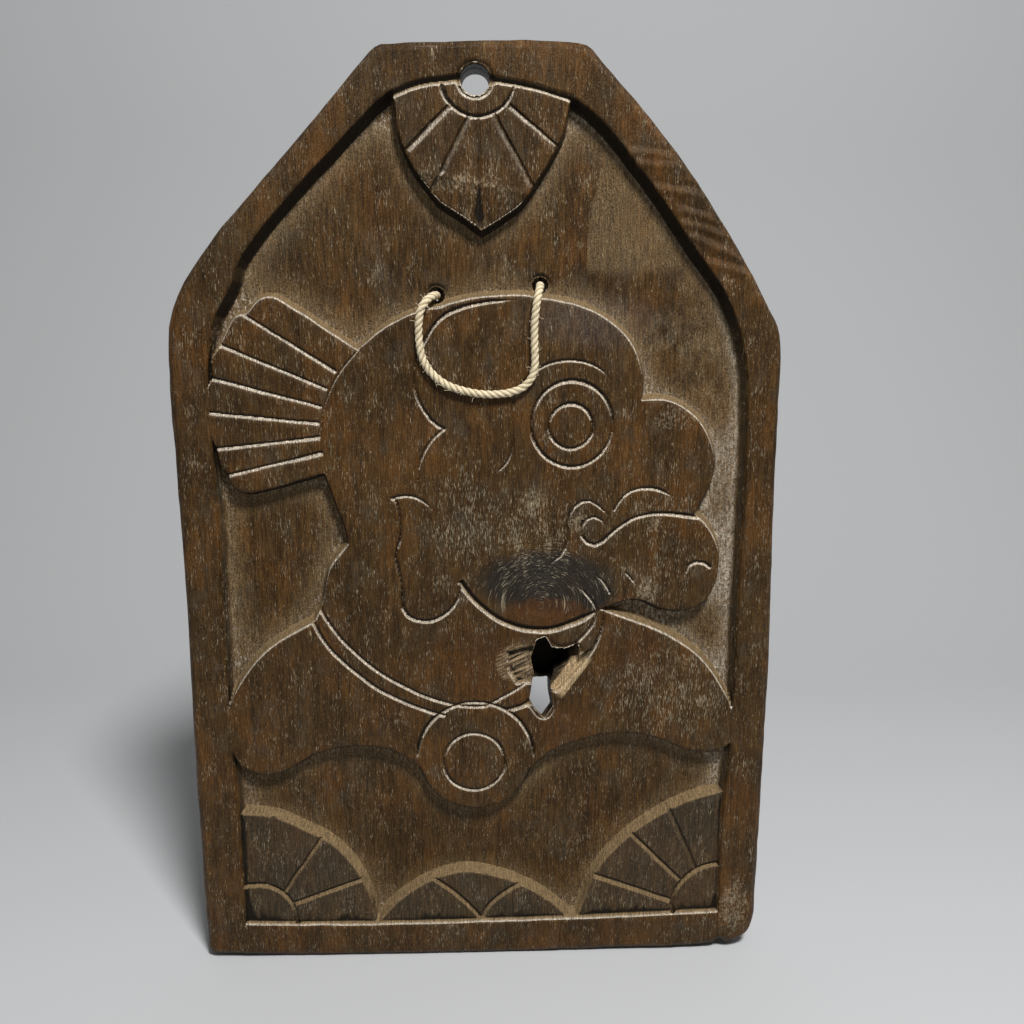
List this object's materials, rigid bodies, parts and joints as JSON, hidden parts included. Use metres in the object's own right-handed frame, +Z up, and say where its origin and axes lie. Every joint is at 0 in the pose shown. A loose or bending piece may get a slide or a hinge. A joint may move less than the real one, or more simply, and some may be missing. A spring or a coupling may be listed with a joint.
{
  "type": "carved holder panel",
  "caption": "Thick gabled wooden wall panel carved with a profile head in a sunk ground, with a hanging hole and a string loop that holds a sheathed dagger.",
  "frame": {"origin": "middle of the hanging hole, in the plane of the flat back", "axes": "+Z up the panel, +Y out of the back into the wall, so the carved front faces -Y, and +X to the right seen from the front"},
  "size_m": [0.3215, 0.0336, 0.5022],
  "materials": {
    "wood": "old dark teak, hand rubbed with wax, dust in the cuts and along the walls of the sunk ground",
    "string": "undyed soft twisted cotton, matte"
  },
  "bodies": {
    "root": {"carved_panel": "wood", "cord": "string"}
  },
  "joints": []
}
